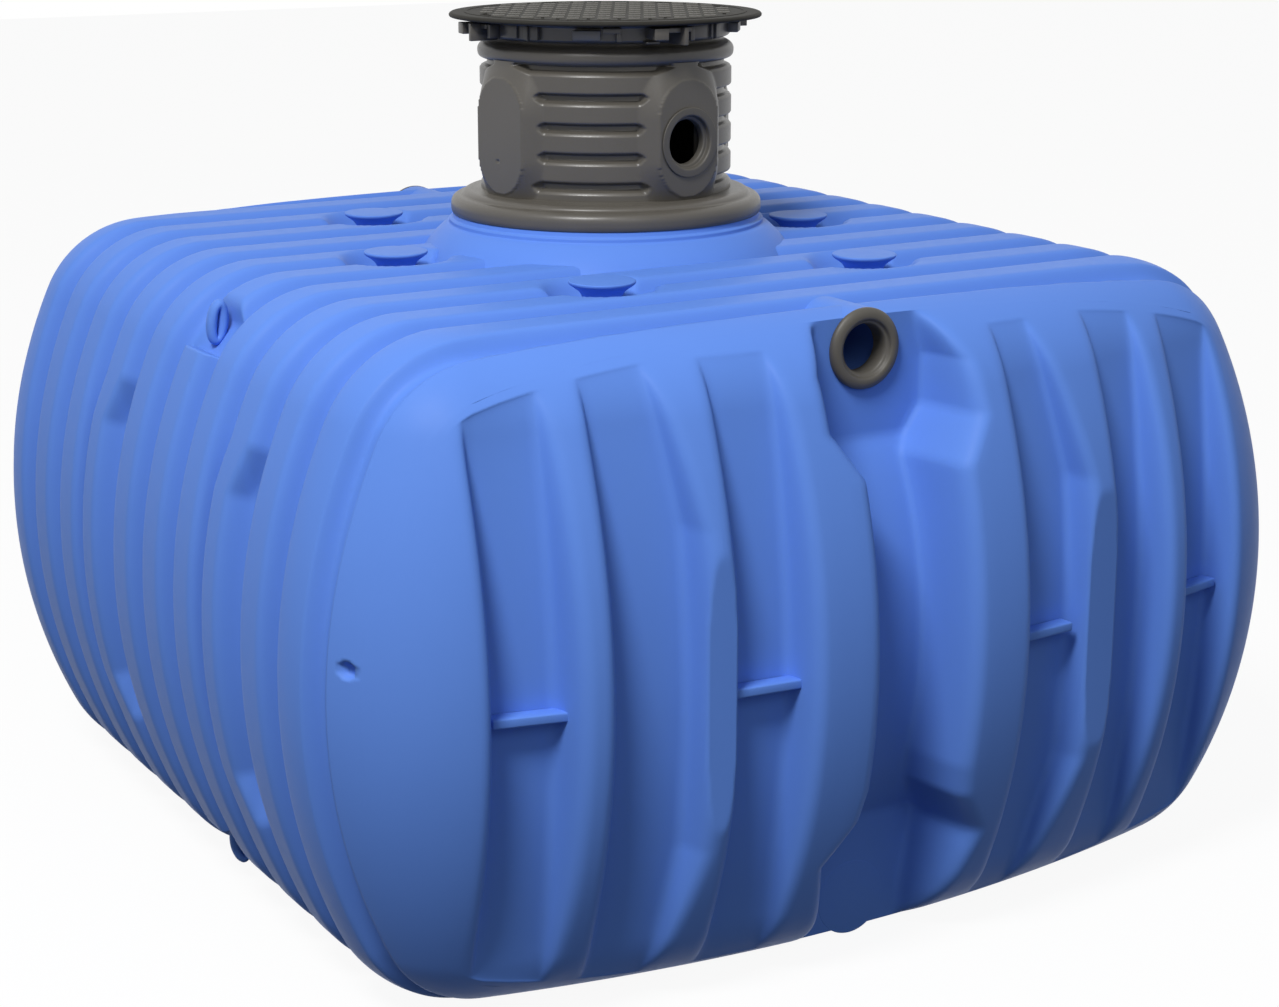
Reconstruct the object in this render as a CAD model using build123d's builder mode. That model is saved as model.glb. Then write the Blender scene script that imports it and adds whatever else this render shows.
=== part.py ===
from build123d import *

import os
from math import asin, cos, degrees, radians, sin, sqrt

# Flat rainwater tank for underground use, lying on a level floor.
# X runs across the tank, Y along it, Z up. The front end wall, with the inlet, faces -Y.
# The origin is the middle of the footprint, at the underside of the hoops.

# Tank body
TANK_WIDTH = 2650
TANK_LENGTH = 2880
TANK_HEIGHT = 1520
BULGE_R = 1400
SHOULDER_R = 300
CORNER_R = 420
END_BOW_R = 4200
SKIN = 10

# Hoops round the tank, between grooves
GROOVE_COUNT = 11
HOOP_PITCH = 208
GROOVE_MOUTH = 92
GROOVE_FLOOR = 40
GROOVE_DEPTH = 50
STEPPED_HOOPS = (-624, 208)
STEP_BACK = 44
STEP_LOW = 345
STEP_HIGH = 1220
STEP_RUN = 110

# Upright grooves in the two end walls
END_GROOVE_DEPTH = 95
END_GROOVE_REACH = 640
END_GROOVES = ((930, 175), (670, 170), (387, 173))
CHANNEL_WIDTH = 150
CHANNEL_DEPTH = 150
POCKET_WIDTH = 380
POCKET_DEPTH = 290
POCKET_FOOT = 1280
CHANNEL_TOP = 1190
LEDGE_GROOVES = (930, 387)
LEDGE_Z = 752
LEDGE_HEIGHT = 24
LEDGE_DEPTH = 40
CUT_RIBS = ((-593, -473), (473, 593))
CUT_LOW = 450
CUT_HIGH = 1130

# Inlet and overflow
PIPE_BORE_R = 55
PIPE_HEIGHT = 1425
SPIGOT_R = 92
SPIGOT_WALL = 14
SPIGOT_LENGTH = 230
SEAL_R = 93
SEAL_PROUD = 18
SEAL_FIT = 0.3
SEAL_SLEEVE = 40

# Roof pads, lifting eyes and wall dimples
DIMPLE_R = 15
DIMPLE_DEPTH = 18
DIMPLE_PLACE = (1105, 880)
PAD_PLACES = ((605, 0), (374, 630))
PAD_TOP_R = 80
PAD_FOOT_R = 48
PAD_PROUD = 14
EYE_THICKNESS = 30
EYE_HEIGHT = 110
EYE_SLOT_R = 14
EYE_SLOT = 62
EYE_LEDGE_Z = 1368
EYE_REACH = 1140
EYE_HOOP = -104
HOOP_CREST = 100

# Manhole dome on the roof
DOME_FOOT_R = 470
DOME_TOP_R = 418
DOME_HEIGHT = 42
NECK_R = 396
NECK_TOP = 1592
MANHOLE_R = 300

# Access shaft
SHAFT_R = 323
SHAFT_VALLEY_R = 305
SHAFT_WALL = 9
SHAFT_PITCH = 70
SHAFT_RINGS = 5
RING_BAND = 40
RING_SLOPE = 8
FIRST_RING_Z = 1668
SHAFT_TOP = 2062
FLANGE_R = 402
FLANGE_HEIGHT = 46
FLANGE_ROUND = 18
STEP_R = 352
STEP_HEIGHT = 16
HEAD_RING_R = 330
HEAD_RING_Z = 1985
HEAD_RING_ROUND = 14
BOSS_WIDTH = 190
BOSS_HEIGHT = 300
BOSS_FACE = 336
BOSS_CENTRE_Z = 1797
SHAFT_TURN = 8

# Lid and its frame
LID_R = 400
LID_EDGE = 16
LID_FRAME_R = 352
LID_FRAME_HEIGHT = 26
BRACKET_COUNT = 4
BRACKET_TURN = -6
BRACKET_WIDTH = 100
LID_LIFT_GAP = 0.3
LID_PLUG_R = 288
LID_PLUG_DEPTH = 20
BRACKET_REACH = 392
BRACKET_HEIGHT = 50
LATCH_R = 26

MID_Z = TANK_HEIGHT / 2
HALF_W = TANK_WIDTH / 2
HALF_L = TANK_LENGTH / 2
LEAN = asin((MID_Z - SHOULDER_R) / (BULGE_R - SHOULDER_R))
SHOULDER_RUN = BULGE_R - (BULGE_R - SHOULDER_R) * cos(LEAN)
CORNER_X = HALF_W - CORNER_R
BOW_Y = END_BOW_R - HALF_L
CORNER_Y = sqrt((END_BOW_R - CORNER_R) ** 2 - CORNER_X**2) - BOW_Y
BOW_ANGLE = degrees(asin(CORNER_X / (END_BOW_R - CORNER_R)))
DIMPLE_SETBACK = CORNER_R - sqrt(CORNER_R**2 - (DIMPLE_PLACE[0] - CORNER_Y) ** 2)
BIG = 3 * TANK_LENGTH

os.makedirs("parts", exist_ok=True)


def save(piece, name):
    """Labels a finished piece and writes it under its own name."""
    piece.part.label = name
    export_step(piece.part, f"parts/{name}.step")


def block(low, high):
    """A plain block from one corner to the other."""
    with BuildPart() as solid:
        with Locations([tuple((a + b) / 2 for a, b in zip(low, high))]):
            Box(*(b - a for a, b in zip(low, high)))
    return solid.part


def wall_arcs(middle, inset):
    """Upright outline of one bulged wall: shoulder, bulge, shoulder. Middle is its widest reach."""
    lean = degrees(LEAN)
    bulge_middle = middle - BULGE_R
    round_middle = bulge_middle + (BULGE_R - SHOULDER_R) * cos(LEAN)
    CenterArc((bulge_middle, MID_Z), BULGE_R - inset, -lean, 2 * lean)
    CenterArc((round_middle, TANK_HEIGHT - SHOULDER_R), SHOULDER_R - inset, lean, 90 - lean)
    CenterArc((round_middle, SHOULDER_R), SHOULDER_R - inset, -90, 90 - lean)
    return round_middle


def across_outline(inset):
    """Closed outline of the tank across its width, moved in by inset."""
    with BuildSketch(Plane.XZ) as outline:
        with BuildLine() as half:
            flat_half = wall_arcs(HALF_W, inset)
            Line((0, inset), (flat_half, inset))
            Line((0, TANK_HEIGHT - inset), (flat_half, TANK_HEIGHT - inset))
            mirror(about=Plane.YZ)
        make_face()
    return outline.sketch


def end_outline(inset):
    """Upright outline of an end wall, from the axis of its bow outwards, in the bow's own plane."""
    with BuildSketch(Plane.XZ) as outline:
        with BuildLine():
            flat_end = wall_arcs(END_BOW_R, inset)
            Polyline(
                (flat_end, inset),
                (0, inset),
                (0, TANK_HEIGHT - inset),
                (flat_end, TANK_HEIGHT - inset),
            )
        make_face()
    return outline.sketch


def corner_outline(inset):
    """Upright outline of a rounded corner, from the corner's own axis outwards."""
    with BuildSketch(Plane.XZ) as outline:
        with BuildLine():
            flat_end = wall_arcs(CORNER_R, inset)
            Polyline(
                (flat_end, inset),
                (0, inset),
                (0, TANK_HEIGHT - inset),
                (flat_end, TANK_HEIGHT - inset),
            )
        make_face()
    return outline.sketch


def barrel(inset):
    """The whole rounded body, moved in by inset all round: a middle, two bowed ends, four corners."""
    with BuildPart() as end:
        revolve(end_outline(inset), Axis.Z, 2 * BOW_ANGLE)
    end_piece = end.part.rotate(Axis.Z, -90 - BOW_ANGLE).moved(Location((0, BOW_Y, 0)))
    end_piece = end_piece - block((-BIG, -CORNER_Y, -BIG), (BIG, BIG, BIG))
    with BuildPart() as corner:
        revolve(corner_outline(inset), Axis.Z, 90 - BOW_ANGLE)
    right = corner.part.rotate(Axis.Z, BOW_ANGLE - 90).moved(Location((CORNER_X, -CORNER_Y, 0)))
    left = right.mirror(Plane.YZ)
    with BuildPart() as body:
        extrude(across_outline(inset), CORNER_Y, both=True)
        for piece in (end_piece, right, left):
            add(piece)
            add(piece.rotate(Axis.Z, 180))
    return body.part


def hoop_groove():
    """A ring that cuts one hoop groove, with sloping sides, at the middle of the tank."""
    slope = (GROOVE_MOUTH - GROOVE_FLOOR) / 2 / GROOVE_DEPTH
    mouth = GROOVE_MOUTH / 2 + slope * GROOVE_DEPTH
    with BuildPart() as ring:
        with BuildSketch(Plane.YZ):
            with BuildLine():
                Polyline(
                    (-mouth, TANK_HEIGHT + GROOVE_DEPTH),
                    (mouth, TANK_HEIGHT + GROOVE_DEPTH),
                    (GROOVE_FLOOR / 2, TANK_HEIGHT - GROOVE_DEPTH),
                    (-GROOVE_FLOOR / 2, TANK_HEIGHT - GROOVE_DEPTH),
                    close=True,
                )
            make_face()
        sweep(path=across_outline(0).faces()[0].outer_wire())
    return ring.part


def end_groove(x, width, depth, reach):
    """Cuts one upright groove in the front end wall, deepest at mid height and running out at its ends."""
    turn = degrees(asin(x / END_BOW_R))
    run_out = BULGE_R - sqrt(BULGE_R**2 - reach**2)
    with BuildPart() as cutter:
        with BuildSketch(Plane.XZ):
            with BuildLine():
                ThreePointArc(
                    (END_BOW_R - run_out, MID_Z - reach),
                    (END_BOW_R - depth, MID_Z),
                    (END_BOW_R - run_out, MID_Z + reach),
                )
                Polyline(
                    (END_BOW_R - run_out, MID_Z + reach),
                    (END_BOW_R + depth, MID_Z + reach),
                    (END_BOW_R + depth, MID_Z - reach),
                    (END_BOW_R - run_out, MID_Z - reach),
                )
            make_face()
        extrude(amount=width / 2, both=True)
    return cutter.part.rotate(Axis.Z, turn - 90).moved(Location((0, BOW_Y, 0)))


def front_pocket(grow):
    """The channel up the middle of an end wall, opening to a deeper pocket at its top and its foot."""
    face_y = HALF_L - POCKET_DEPTH - grow
    half_channel = CHANNEL_WIDTH / 2 + grow
    half_pocket = POCKET_WIDTH / 2 + grow
    with BuildPart() as cutter:
        add(end_groove(0, 2 * half_channel, CHANNEL_DEPTH + grow, END_GROOVE_REACH))
        with BuildSketch(Plane.XZ.offset(face_y)):
            for side in (1, -1):
                with BuildLine():
                    Polyline(
                        (-half_channel, MID_Z + side * (CHANNEL_TOP - MID_Z)),
                        (half_channel, MID_Z + side * (CHANNEL_TOP - MID_Z)),
                        (half_pocket, MID_Z + side * (POCKET_FOOT - MID_Z)),
                        (half_pocket, MID_Z + side * MID_Z * 1.1),
                        (-half_pocket, MID_Z + side * MID_Z * 1.1),
                        (-half_pocket, MID_Z + side * (POCKET_FOOT - MID_Z)),
                        close=True,
                    )
                make_face()
        extrude(amount=POCKET_DEPTH * 1.5)
    return cutter.part


def roof_pads():
    """The round pads on the roof, each a cone that stands on a groove's floor and is wider at its top."""
    height = GROOVE_DEPTH + PAD_PROUD
    with BuildPart() as pads:
        for x, y in PAD_PLACES:
            spots = {(x, y), (-x, -y), (-x, y), (x, -y)}
            with Locations([(a, b, TANK_HEIGHT - GROOVE_DEPTH + height / 2) for a, b in sorted(spots)]):
                Cone(PAD_FOOT_R, PAD_TOP_R, height)
    return pads.part


def stepped_cut():
    """Takes the front edge off two hoops of the left wall between two slanting steps, to the groove's depth."""
    with BuildPart() as cutter:
        with BuildSketch(Plane.YZ.offset(-HALF_W - GROOVE_DEPTH)):
            for groove_y in STEPPED_HOOPS:
                with BuildLine():
                    Polyline(
                        (groove_y, STEP_LOW),
                        (groove_y + GROOVE_MOUTH / 2, STEP_LOW),
                        (groove_y + GROOVE_MOUTH / 2 + STEP_BACK, STEP_LOW + STEP_RUN),
                        (groove_y + GROOVE_MOUTH / 2 + STEP_BACK, STEP_HIGH - STEP_RUN),
                        (groove_y + GROOVE_MOUTH / 2, STEP_HIGH),
                        (groove_y, STEP_HIGH),
                        close=True,
                    )
                make_face()
        extrude(amount=CORNER_R)
        extrude(across_outline(GROOVE_DEPTH), TANK_LENGTH, both=True, mode=Mode.SUBTRACT)
    return cutter.part


def front_cuts():
    """Flat cuts on two ribs of the front end wall, and the dimples of its two corners."""
    bow_at_kink = END_BOW_R - BULGE_R + sqrt(BULGE_R**2 - (MID_Z - CUT_LOW) ** 2)
    with BuildPart() as cutter:
        for low, high in CUT_RIBS:
            crest_y = BOW_Y - sqrt(bow_at_kink**2 - ((low + high) / 2) ** 2)
            add(block((low, -HALF_L * 2, CUT_LOW), (high, crest_y, CUT_HIGH)))
        for side in (1, -1):
            with Locations((side * HALF_W, -DIMPLE_PLACE[0], DIMPLE_PLACE[1])):
                Cylinder(DIMPLE_R, 2 * (DIMPLE_DEPTH + DIMPLE_SETBACK), rotation=(0, 90, 0))
    return cutter.part


def eye_pocket():
    """The notch in a hoop's crest at the left shoulder, open outwards and upwards, with a ledge for its foot."""
    with BuildPart() as cutter:
        add(
            block(
                (-2 * HALF_W, EYE_HOOP - HOOP_CREST / 2, EYE_LEDGE_Z),
                (-EYE_REACH + GROOVE_DEPTH, EYE_HOOP + HOOP_CREST / 2, 2 * TANK_HEIGHT),
            )
        )
        extrude(across_outline(GROOVE_DEPTH), TANK_LENGTH, both=True, mode=Mode.SUBTRACT)
    return cutter.part


def four_ways(piece):
    """A piece of the left wall's upper half, with its copies below and, turned round, on the right."""
    below = piece.mirror(Plane.XY.offset(MID_Z))
    return [piece, below, piece.rotate(Axis.Z, 180), below.rotate(Axis.Z, 180)]


def tank_shell():
    """The whole moulded tank: hooped outside, bulged end walls, one hollow inside."""
    ring = hoop_groove()
    spigot_face = HALF_L - POCKET_DEPTH
    with BuildPart() as body:
        add(barrel(0))
        for number in range(GROOVE_COUNT):
            place = (number - (GROOVE_COUNT - 1) / 2) * HOOP_PITCH
            add(ring.moved(Location((0, place, 0))), mode=Mode.SUBTRACT)
        for x, width in END_GROOVES:
            for side in (1, -1):
                cutter = end_groove(side * x, width, END_GROOVE_DEPTH, END_GROOVE_REACH)
                add(cutter, mode=Mode.SUBTRACT)
                add(cutter.rotate(Axis.Z, 180), mode=Mode.SUBTRACT)
        for turn in (0, 180):
            add(front_pocket(0).rotate(Axis.Z, turn), mode=Mode.SUBTRACT)
        for cutter in (stepped_cut(), front_cuts()):
            add(cutter, mode=Mode.SUBTRACT)
            add(cutter.rotate(Axis.Z, 180), mode=Mode.SUBTRACT)
        for cutter in four_ways(eye_pocket()):
            add(cutter, mode=Mode.SUBTRACT)
        with BuildPart(mode=Mode.PRIVATE) as hollow:
            add(barrel(GROOVE_DEPTH + SKIN))
            for x, width in END_GROOVES:
                for side in (1, -1):
                    cutter = end_groove(side * x, width + 2 * SKIN, END_GROOVE_DEPTH + SKIN, END_GROOVE_REACH)
                    add(cutter, mode=Mode.SUBTRACT)
                    add(cutter.rotate(Axis.Z, 180), mode=Mode.SUBTRACT)
            for turn in (0, 180):
                add(front_pocket(SKIN).rotate(Axis.Z, turn), mode=Mode.SUBTRACT)
        add(hollow.part, mode=Mode.SUBTRACT)
        with Locations((0, 0, TANK_HEIGHT)):
            Cylinder(DOME_FOOT_R, TANK_HEIGHT, mode=Mode.SUBTRACT)
        add(roof_pads(), mode=Mode.SUBTRACT)
        with Locations(Plane.XZ.offset(spigot_face - SPIGOT_LENGTH), Plane.XZ.offset(-spigot_face)):
            with Locations((0, PIPE_HEIGHT)):
                Cylinder(
                    SPIGOT_R,
                    SPIGOT_LENGTH,
                    align=(Align.CENTER, Align.CENTER, Align.MIN),
                    mode=Mode.SUBTRACT,
                )
    return body.part


shell = tank_shell()
print("shell litres of plastic", shell.volume / 1e6, shell.is_valid, len(shell.faces()), len(shell.solids()))

REGIONS = {
    "tank_roof": ((-CORNER_X, -CORNER_Y, MID_Z), (CORNER_X, CORNER_Y, BIG)),
    "tank_floor": ((-CORNER_X, -CORNER_Y, -BIG), (CORNER_X, CORNER_Y, MID_Z)),
    "left_wall": ((-BIG, -CORNER_Y, -BIG), (-CORNER_X, CORNER_Y, BIG)),
    "front_end_wall": ((-CORNER_X, -BIG, -BIG), (CORNER_X, -CORNER_Y, BIG)),
    "front_left_corner": ((-BIG, -BIG, -BIG), (-CORNER_X, -CORNER_Y, BIG)),
    "front_right_corner": ((CORNER_X, -BIG, -BIG), (BIG, -CORNER_Y, BIG)),
}
OPPOSITES = {
    "left_wall": "right_wall",
    "front_end_wall": "rear_end_wall",
    "front_left_corner": "rear_right_corner",
    "front_right_corner": "rear_left_corner",
}
for name, (low, high) in REGIONS.items():
    with BuildPart() as region:
        add(shell)
        add(block(low, high), mode=Mode.INTERSECT)
    save(region, name)
    print(name, len(region.part.solids()), round(region.part.volume / 1e6, 2))
    if name in OPPOSITES:
        region.part = region.part.rotate(Axis.Z, 180)
        save(region, OPPOSITES[name])

with BuildPart() as pads:
    add(roof_pads())
save(pads, "roof_pads")

with BuildPart() as eyes:
    with BuildPart(mode=Mode.PRIVATE) as eye:
        with BuildSketch(Plane.XZ.offset(-EYE_HOOP)) as eye_outline:
            add(across_outline(0))
            with Locations((-EYE_REACH, EYE_LEDGE_Z + EYE_HEIGHT / 2)):
                Rectangle(2 * GROOVE_DEPTH, EYE_HEIGHT, mode=Mode.INTERSECT)
            add(across_outline(GROOVE_DEPTH), mode=Mode.SUBTRACT)
        extrude(amount=EYE_THICKNESS / 2, both=True)
        with BuildSketch(Plane.XZ.offset(-EYE_HOOP)):
            with Locations((-EYE_REACH, EYE_LEDGE_Z + EYE_HEIGHT / 2)):
                Circle(EYE_SLOT_R)
        extrude(amount=EYE_THICKNESS, both=True, mode=Mode.SUBTRACT)
    for piece in four_ways(eye.part):
        add(piece)
save(eyes, "lifting_eyes")

with BuildPart() as ledges:
    for x in LEDGE_GROOVES:
        for side in (1, -1):
            turn = degrees(asin(x / END_BOW_R)) * side
            floor_r = END_BOW_R - END_GROOVE_DEPTH
            with BuildPart(mode=Mode.PRIVATE) as bar:
                with Locations((floor_r + LEDGE_DEPTH / 2, 0, LEDGE_Z)):
                    Box(LEDGE_DEPTH + 2, GROOVE_MOUTH * 2, LEDGE_HEIGHT)
            add(bar.part.rotate(Axis.Z, turn - 90).moved(Location((0, BOW_Y, 0))))
    add(shell, mode=Mode.SUBTRACT)
save(ledges, "front_ledges")
ledges.part = ledges.part.rotate(Axis.Z, 180)
save(ledges, "rear_ledges")

with BuildPart() as dome:
    with BuildSketch(Plane.XZ):
        with BuildLine():
            Polyline(
                (MANHOLE_R, TANK_HEIGHT - GROOVE_DEPTH - SKIN),
                (DOME_FOOT_R, TANK_HEIGHT - GROOVE_DEPTH - SKIN),
                (DOME_FOOT_R, TANK_HEIGHT),
                ((DOME_FOOT_R * 2 + DOME_TOP_R) / 3, TANK_HEIGHT + DOME_HEIGHT * 0.6),
                (DOME_TOP_R, TANK_HEIGHT + DOME_HEIGHT),
                (NECK_R, TANK_HEIGHT + DOME_HEIGHT),
                (NECK_R, NECK_TOP),
                (MANHOLE_R, NECK_TOP),
                close=True,
            )
        make_face()
    revolve()
save(dome, "manhole_dome")


def pipe_spigot(turn, name):
    """The short moulded stub that a pipe enters through, in an end wall's pocket."""
    with BuildPart() as stub:
        with BuildSketch(Plane.XZ.offset(HALF_L - POCKET_DEPTH - SPIGOT_LENGTH)):
            with Locations((0, PIPE_HEIGHT)):
                Circle(SPIGOT_R)
                Circle(SPIGOT_R - SPIGOT_WALL, mode=Mode.SUBTRACT)
        extrude(amount=SPIGOT_LENGTH)
    stub.part = stub.part.rotate(Axis.Z, turn)
    save(stub, name)


def pipe_seal(plane, name):
    """The dark rubber ring round a pipe way: a rounded lip outside and a sleeve that fills the bore."""
    sleeve = SPIGOT_R - SPIGOT_WALL - SEAL_FIT
    with BuildPart() as seal:
        with BuildSketch(Plane.XZ):
            with BuildLine():
                Polyline(
                    (PIPE_BORE_R, -SEAL_SLEEVE),
                    (sleeve, -SEAL_SLEEVE),
                    (sleeve, SEAL_FIT),
                    (SEAL_R, SEAL_FIT),
                    (SEAL_R, SEAL_PROUD * 0.6),
                    (SEAL_R - SEAL_PROUD * 0.6, SEAL_PROUD),
                    (PIPE_BORE_R + SEAL_PROUD * 0.5, SEAL_PROUD),
                    (PIPE_BORE_R, SEAL_PROUD * 0.4),
                    close=True,
                )
            make_face()
        revolve()
    seal.part = plane.location * seal.part
    save(seal, name)


def end_plane(turn):
    """The plane of a pipe seal on an end wall: its middle on the pocket's face, its normal outwards."""
    face = Plane.XZ.offset(HALF_L - POCKET_DEPTH)
    face.origin = face.origin + Vector(0, 0, PIPE_HEIGHT)
    if turn:
        face = Plane(origin=(0, HALF_L - POCKET_DEPTH, PIPE_HEIGHT), x_dir=(-1, 0, 0), z_dir=(0, 1, 0))
    return face


pipe_spigot(0, "inlet_spigot")
pipe_spigot(180, "overflow_spigot")
pipe_seal(end_plane(0), "inlet_seal")
pipe_seal(end_plane(180), "overflow_seal")

# Access shaft: a ribbed tube on a stepped flange, with four flat bosses for pipes
SHAFT_FOOT = NECK_TOP
with BuildPart() as shaft:
    with BuildSketch(Plane.XZ):
        with BuildLine():
            Polyline(
                (SHAFT_VALLEY_R - SHAFT_WALL, SHAFT_FOOT),
                (SHAFT_VALLEY_R, SHAFT_FOOT),
                (SHAFT_VALLEY_R, SHAFT_TOP),
                (SHAFT_VALLEY_R - SHAFT_WALL, SHAFT_TOP),
                close=True,
            )
        make_face()
        for number in range(SHAFT_RINGS):
            middle = FIRST_RING_Z + number * SHAFT_PITCH
            with BuildLine():
                Polyline(
                    (SHAFT_VALLEY_R - SHAFT_WALL / 2, middle - RING_BAND / 2 - RING_SLOPE),
                    (SHAFT_VALLEY_R, middle - RING_BAND / 2 - RING_SLOPE),
                    (SHAFT_R, middle - RING_BAND / 2),
                    (SHAFT_R, middle + RING_BAND / 2),
                    (SHAFT_VALLEY_R, middle + RING_BAND / 2 + RING_SLOPE),
                    (SHAFT_VALLEY_R - SHAFT_WALL / 2, middle + RING_BAND / 2 + RING_SLOPE),
                    close=True,
                )
            make_face()
    revolve()
    for quarter in range(4):
        heading = SHAFT_TURN + 90 * quarter
        face = Plane(
            origin=(BOSS_FACE * cos(radians(heading)), BOSS_FACE * sin(radians(heading)), BOSS_CENTRE_Z),
            x_dir=(sin(radians(heading)), -cos(radians(heading)), 0),
            z_dir=(cos(radians(heading)), sin(radians(heading)), 0),
        )
        with BuildSketch(face):
            SlotOverall(BOSS_HEIGHT, BOSS_WIDTH, rotation=90)
        extrude(amount=-(BOSS_FACE - SHAFT_VALLEY_R * 0.9), taper=-8)
    with Locations((0, 0, SHAFT_FOOT)):
        Cylinder(
            SHAFT_VALLEY_R - SHAFT_WALL,
            SHAFT_TOP - SHAFT_FOOT,
            align=(Align.CENTER, Align.CENTER, Align.MIN),
            mode=Mode.SUBTRACT,
        )
    seal_heading = radians(SHAFT_TURN - 90)
    seal_face = Plane(
        origin=(BOSS_FACE * cos(seal_heading), BOSS_FACE * sin(seal_heading), BOSS_CENTRE_Z),
        x_dir=(-sin(seal_heading), cos(seal_heading), 0),
        z_dir=(cos(seal_heading), sin(seal_heading), 0),
    )
    with BuildSketch(seal_face):
        Circle(SPIGOT_R - SPIGOT_WALL)
    extrude(amount=-BOSS_FACE / 2, mode=Mode.SUBTRACT)
save(shaft, "access_shaft")
pipe_seal(seal_face, "shaft_seal")

with BuildPart() as flange:
    with BuildSketch(Plane.XZ):
        with BuildLine():
            Polyline(
                (SHAFT_VALLEY_R, SHAFT_FOOT),
                (FLANGE_R, SHAFT_FOOT),
                (FLANGE_R, SHAFT_FOOT + FLANGE_HEIGHT - FLANGE_ROUND),
                (FLANGE_R - FLANGE_ROUND * 0.3, SHAFT_FOOT + FLANGE_HEIGHT - FLANGE_ROUND * 0.3),
                (FLANGE_R - FLANGE_ROUND, SHAFT_FOOT + FLANGE_HEIGHT),
                (STEP_R, SHAFT_FOOT + FLANGE_HEIGHT),
                (STEP_R, SHAFT_FOOT + FLANGE_HEIGHT + STEP_HEIGHT),
                (SHAFT_VALLEY_R, SHAFT_FOOT + FLANGE_HEIGHT + STEP_HEIGHT),
                close=True,
            )
        make_face()
    revolve()
    add(shaft.part, mode=Mode.SUBTRACT)
save(flange, "shaft_base_flange")

with BuildPart() as head_ring:
    with BuildSketch(Plane.XZ):
        with BuildLine():
            Polyline(
                (SHAFT_VALLEY_R, HEAD_RING_Z),
                (HEAD_RING_R - HEAD_RING_ROUND, HEAD_RING_Z),
                (HEAD_RING_R, HEAD_RING_Z + HEAD_RING_ROUND),
                (HEAD_RING_R, SHAFT_TOP - HEAD_RING_ROUND),
                (HEAD_RING_R - HEAD_RING_ROUND, SHAFT_TOP),
                (SHAFT_VALLEY_R, SHAFT_TOP),
                close=True,
            )
        make_face()
    revolve()
save(head_ring, "shaft_head_ring")

# Lid and the frame that it lies in
FRAME_TOP = SHAFT_TOP + LID_FRAME_HEIGHT
with BuildPart() as lid_frame:
    with BuildSketch(Plane.XY.offset(SHAFT_TOP)):
        Circle(LID_FRAME_R)
        Circle(SHAFT_VALLEY_R - SHAFT_WALL, mode=Mode.SUBTRACT)
    extrude(amount=LID_FRAME_HEIGHT)
save(lid_frame, "lid_frame")

with BuildPart() as brackets:
    with BuildSketch(Plane.XY.offset(FRAME_TOP - BRACKET_HEIGHT)):
        with PolarLocations((LID_FRAME_R + BRACKET_REACH) / 2, BRACKET_COUNT, start_angle=BRACKET_TURN):
            Rectangle(BRACKET_REACH - LID_FRAME_R, BRACKET_WIDTH)
        Circle(LID_FRAME_R, mode=Mode.SUBTRACT)
    extrude(amount=BRACKET_HEIGHT)
save(brackets, "lid_brackets")

with BuildPart() as latches:
    with BuildSketch(Plane.XY.offset(FRAME_TOP - BRACKET_HEIGHT)):
        with PolarLocations(LID_FRAME_R, BRACKET_COUNT, start_angle=BRACKET_TURN + 45):
            Circle(LATCH_R)
        Circle(LID_FRAME_R, mode=Mode.SUBTRACT)
    extrude(amount=BRACKET_HEIGHT)
save(latches, "lid_latches")

with BuildPart() as lid:
    with BuildSketch(Plane.XY.offset(FRAME_TOP + LID_LIFT_GAP)):
        Circle(LID_R)
    extrude(amount=LID_EDGE)
    with BuildSketch(Plane.XY.offset(FRAME_TOP + LID_LIFT_GAP)):
        Circle(LID_PLUG_R)
        Circle(LID_PLUG_R - LID_EDGE, mode=Mode.SUBTRACT)
    extrude(amount=-LID_PLUG_DEPTH)
save(lid, "lid")
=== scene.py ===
# %% [markdown]
# # A flat rainwater tank
# The tank is one blown plastic moulding: hoops run round its middle, upright ribs stand on its two
# bulged ends, and a dark ribbed shaft with a round lid stands on the roof. The frame that holds
# sizes and joints is loaded first, and everything here is dressed over it in metres.

# %% Load the frame
import bpy
import math
import numpy as np
from mathutils import Matrix, Vector


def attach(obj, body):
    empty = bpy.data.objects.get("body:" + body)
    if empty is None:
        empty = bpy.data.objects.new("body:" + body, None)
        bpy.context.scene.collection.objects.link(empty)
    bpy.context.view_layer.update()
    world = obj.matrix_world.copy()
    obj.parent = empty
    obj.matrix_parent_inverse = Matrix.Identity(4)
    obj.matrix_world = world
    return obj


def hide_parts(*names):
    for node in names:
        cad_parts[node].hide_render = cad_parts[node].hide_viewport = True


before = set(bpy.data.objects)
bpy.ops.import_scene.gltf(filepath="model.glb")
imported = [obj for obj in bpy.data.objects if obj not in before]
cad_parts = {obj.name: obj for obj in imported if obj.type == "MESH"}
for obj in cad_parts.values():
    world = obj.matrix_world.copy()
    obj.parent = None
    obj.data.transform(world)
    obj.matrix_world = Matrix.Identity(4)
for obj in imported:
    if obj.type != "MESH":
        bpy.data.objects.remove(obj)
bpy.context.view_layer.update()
bpy.ops.object.select_all(action="DESELECT")

# %% [markdown]
# ## Camera
# The photograph was taken from the front left, a little above the roof. The lens and the place
# come from lines on the tank that are known in the frame: ledges, hoops, pads and the round lid.

# %% Camera
CAMERA_AT, CAMERA_DIP, CAMERA_TURN = (-3.2151, -5.5832, 2.5328), 0.263, -0.536
bpy.ops.object.camera_add(location=CAMERA_AT, rotation=(math.pi / 2 - CAMERA_DIP, 0, CAMERA_TURN))
camera = bpy.context.object
camera.data.sensor_width = 36
camera.data.lens = 69.85
bpy.context.scene.camera = camera
print("lens", round(camera.data.lens, 2))

# %% [markdown]
# ## Shader sums
# A wrapper round a node's socket lets the materials be written as plain sums. Each operator adds one
# Math node. The same wrapper makes any other node from its type, its settings and its inputs.

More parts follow.
